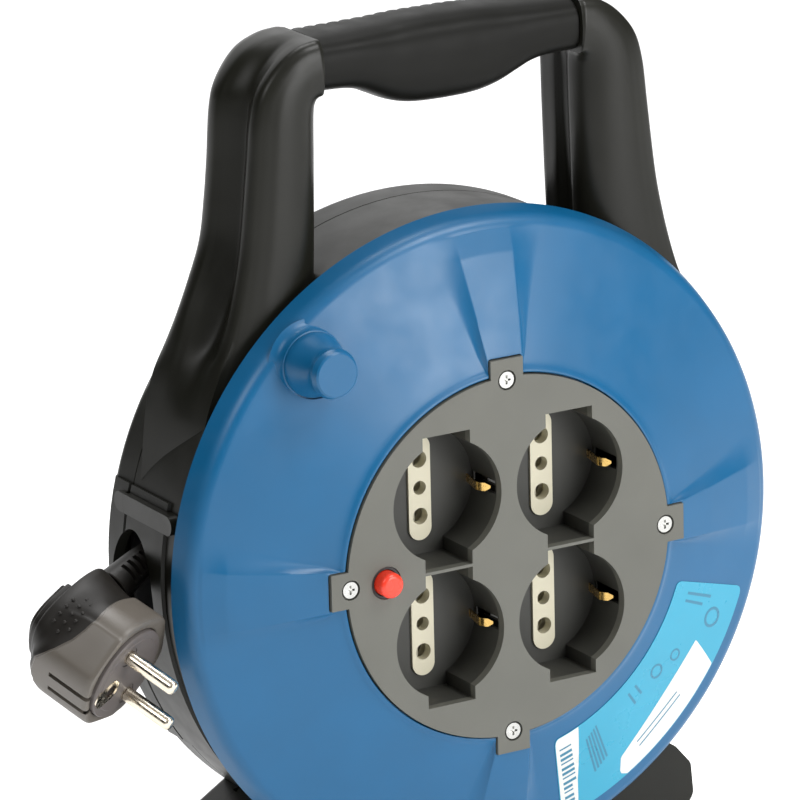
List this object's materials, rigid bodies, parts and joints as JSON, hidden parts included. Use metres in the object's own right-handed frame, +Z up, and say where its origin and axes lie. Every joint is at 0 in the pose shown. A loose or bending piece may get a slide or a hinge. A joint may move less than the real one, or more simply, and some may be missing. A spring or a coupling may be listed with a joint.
{
  "type": "extension cord reel",
  "caption": "Carried drum reel for a mains cable: two-part casing with handle and feet, turning front disc with socket plate, thermal reset button, winding knob and stored angled plug.",
  "frame": {"origin": "middle of the casing's footprint box, at the underside of the feet", "axes": "+Z up through the handle, -Y out of the socket plate towards the user, +X to the user's right"},
  "size_m": [0.2641, 0.0786, 0.2894],
  "materials": {
    "housing_plastic": "satin black, fine spark-eroded grain",
    "grip_plastic": "satin black, slightly softer than the casing",
    "disc_plastic": "semi-matt blue with soft broad reflections",
    "drum_plastic": "black, unpolished",
    "plate_plastic": "mid grey, matt",
    "insert_plastic": "ivory",
    "shutter_plastic": "pale ivory grey",
    "button_plastic": "translucent-looking red",
    "zinc_screw": "bright zinc",
    "spring_steel": "drawn wire",
    "contact_brass": "stamped, slightly dull",
    "label_film": null,
    "cable_sheath": "black PVC sheath, satin",
    "plug_plastic": "moulded PVC, warm black, matt",
    "plug_face_plastic": "dark grey",
    "nickel_pin": "nickel-plated brass"
  },
  "bodies": {
    "housing": {"front_housing": "housing_plastic", "rear_housing": "housing_plastic", "handle_front": "housing_plastic", "handle_rear": "housing_plastic", "handle_grip": "grip_plastic", "housing_screws": "zinc_screw", "retaining_washer": "zinc_screw", "retaining_screw": "zinc_screw", "cable_tail": "cable_sheath", "strain_relief": "plug_plastic", "plug_body": "plug_plastic", "plug_insert": "plug_face_plastic", "plug_pins": "nickel_pin", "plug_earth_contacts": "nickel_pin"},
    "drum": {"front_disc": "disc_plastic", "drum_core": "drum_plastic", "rear_flange": "drum_plastic", "flange_screws": "zinc_screw", "socket_plate": "plate_plastic", "plate_screws": "zinc_screw", "earth_clips": "contact_brass", "earth_bus": "contact_brass", "live_contacts": "contact_brass", "neutral_contacts": "contact_brass", "contact_cover": "drum_plastic", "cover_screws": "zinc_screw", "thermal_cutout": "drum_plastic", "cutout_terminals": "contact_brass", "button_spring": "spring_steel", "knob_pin": "zinc_screw", "cord_clamp": "drum_plastic", "clamp_screws": "zinc_screw", "label": "label_film", "cable_winding": "cable_sheath", "socket_cup_upper_left": "plate_plastic", "socket_cup_upper_right": "plate_plastic", "socket_cup_lower_left": "plate_plastic", "socket_cup_lower_right": "plate_plastic", "socket_insert_upper_left": "insert_plastic", "socket_insert_upper_right": "insert_plastic", "socket_insert_lower_left": "insert_plastic", "socket_insert_lower_right": "insert_plastic", "shutter_spring_upper_left": "spring_steel", "shutter_spring_upper_right": "spring_steel", "shutter_spring_lower_left": "spring_steel", "shutter_spring_lower_right": "spring_steel"},
    "knob": {"crank_knob": "disc_plastic"},
    "button": {"reset_button": "button_plastic"},
    "shutter_upper_left": {"shutter_upper_left": "shutter_plastic"},
    "shutter_upper_right": {"shutter_upper_right": "shutter_plastic"},
    "shutter_lower_left": {"shutter_lower_left": "shutter_plastic"},
    "shutter_lower_right": {"shutter_lower_right": "shutter_plastic"}
  },
  "joints": [
    {"name": "drum_spin", "type": "hinge", "parent": "housing", "child": "drum", "pos_m": [0, 0.01525, 0.118], "axis": [0, 1, 0], "continuous": true},
    {"name": "knob_spin", "type": "hinge", "parent": "drum", "child": "knob", "pos_m": [-0.064, -0.02875, 0.1905], "axis": [0, 1, 0], "continuous": true},
    {"name": "button_press", "type": "slide", "parent": "drum", "child": "button", "axis": [0, 1, 0], "range_m": [0, 0.002], "stiffness_N_per_m": 200, "springref_m": -0.002, "deforming": ["button_spring"]},
    {"name": "shutter_slide_upper_left", "type": "slide", "parent": "drum", "child": "shutter_upper_left", "axis": [-1, 0, 0], "range_m": [0, 0.0032], "stiffness_N_per_m": 100, "springref_m": -0.002, "deforming": ["shutter_spring_upper_left"]},
    {"name": "shutter_slide_upper_right", "type": "slide", "parent": "drum", "child": "shutter_upper_right", "axis": [-1, 0, 0], "range_m": [0, 0.0032], "stiffness_N_per_m": 100, "springref_m": -0.002, "deforming": ["shutter_spring_upper_right"]},
    {"name": "shutter_slide_lower_left", "type": "slide", "parent": "drum", "child": "shutter_lower_left", "axis": [-1, 0, 0], "range_m": [0, 0.0032], "stiffness_N_per_m": 100, "springref_m": -0.002, "deforming": ["shutter_spring_lower_left"]},
    {"name": "shutter_slide_lower_right", "type": "slide", "parent": "drum", "child": "shutter_lower_right", "axis": [-1, 0, 0], "range_m": [0, 0.0032], "stiffness_N_per_m": 100, "springref_m": -0.002, "deforming": ["shutter_spring_lower_right"]}
  ]
}
